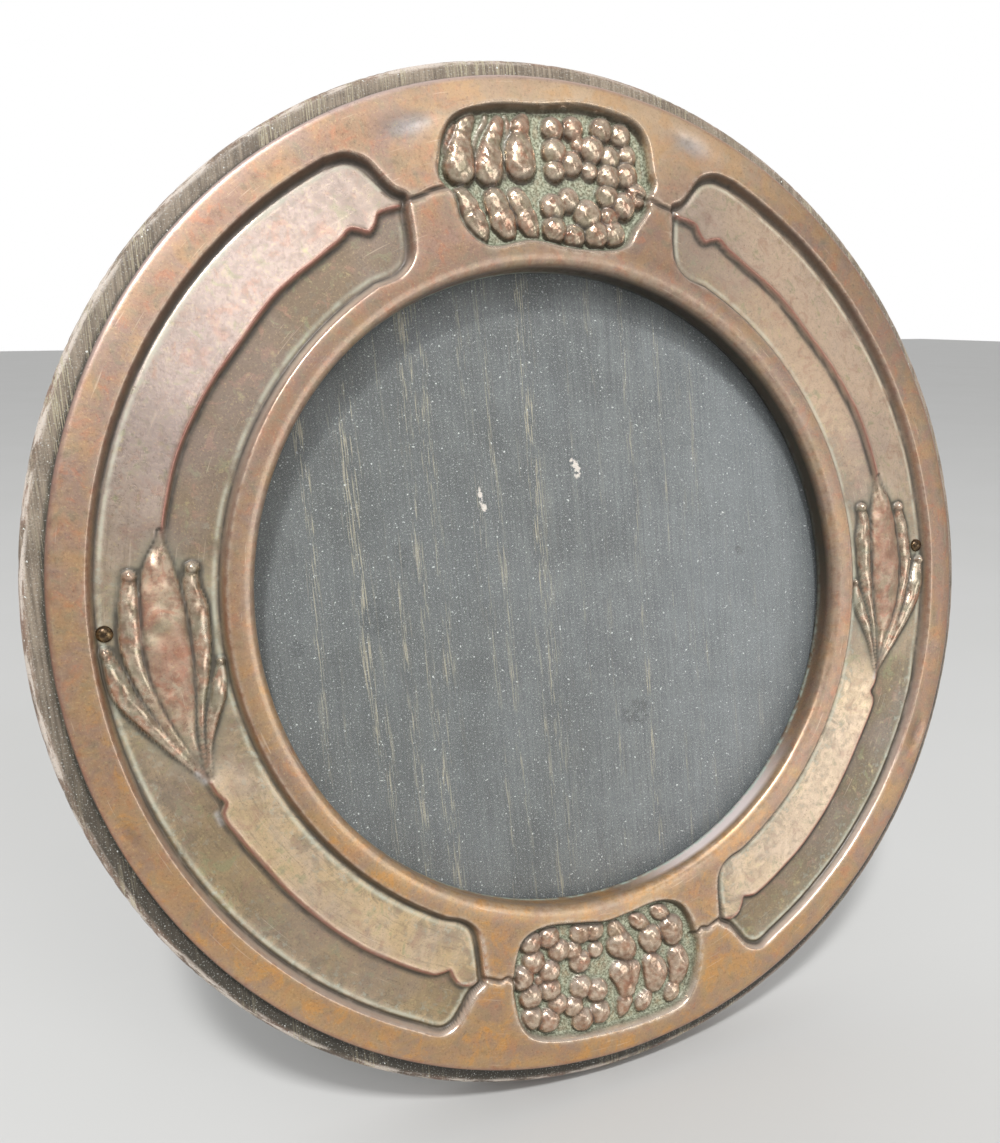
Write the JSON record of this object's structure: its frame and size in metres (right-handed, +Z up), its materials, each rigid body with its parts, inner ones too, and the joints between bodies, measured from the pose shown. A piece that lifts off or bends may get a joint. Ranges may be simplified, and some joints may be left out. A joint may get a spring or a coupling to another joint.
{
  "type": "round photo frame",
  "caption": "Round standing photo frame with an embossed copper ring on a dark oak ring, a glazed round window, a backboard held by turn buttons and a folding easel strut.",
  "frame": {"origin": "on the table, under the middle of the whole frame as it stands open", "axes": "+Z up, the front faces -Y and leans back 14 degrees, +X to the viewer's right"},
  "size_m": [0.1824, 0.0676, 0.1789],
  "materials": {
    "dark_oak": "ebonised, open grain",
    "aged_copper": "embossed copper sheet, brown patina with verdigris in the hollows",
    "brass_pins": "worn, domed",
    "brass_hardware": "aged, satin",
    "clear_glass": "clear, polished"
  },
  "bodies": {
    "frame": {"oak_ring": "dark_oak", "copper_front": "aged_copper", "copper_pins": "brass_pins", "glass_pane": "clear_glass", "backboard": "dark_oak", "turn_button_screws": "brass_hardware", "hinge_leaf_board": "brass_hardware", "hinge_screws_board": "brass_hardware", "hinge_pin": "brass_hardware"},
    "strut": {"strut": "dark_oak", "hinge_leaf_strut": "brass_hardware", "hinge_screws_strut": "brass_hardware"},
    "turn_button_upper_right": {"turn_button_upper_right": "brass_hardware"},
    "turn_button_upper_left": {"turn_button_upper_left": "brass_hardware"},
    "turn_button_lower_left": {"turn_button_lower_left": "brass_hardware"},
    "turn_button_lower_right": {"turn_button_lower_right": "brass_hardware"}
  },
  "joints": [
    {"name": "strut_fold", "type": "hinge", "parent": "frame", "child": "strut", "pos_m": [0, 0.00942, 0.12088], "axis": [-1, 0, 0], "range_deg": [0, 23]},
    {"name": "turn_button_upper_right_turn", "type": "hinge", "parent": "frame", "child": "turn_button_upper_right", "pos_m": [0.04858, 0.0112, 0.13546], "axis": [0, -0.9703, 0.2419], "range_deg": [-90, 90]},
    {"name": "turn_button_upper_left_turn", "type": "hinge", "parent": "frame", "child": "turn_button_upper_left", "pos_m": [-0.04858, 0.0112, 0.13546], "axis": [0, -0.9703, 0.2419], "range_deg": [-90, 90]},
    {"name": "turn_button_lower_left_turn", "type": "hinge", "parent": "frame", "child": "turn_button_lower_left", "pos_m": [-0.04858, -0.01231, 0.04119], "axis": [0, -0.9703, 0.2419], "range_deg": [-90, 90]},
    {"name": "turn_button_lower_right_turn", "type": "hinge", "parent": "frame", "child": "turn_button_lower_right", "pos_m": [0.04858, -0.01231, 0.04119], "axis": [0, -0.9703, 0.2419], "range_deg": [-90, 90]}
  ]
}
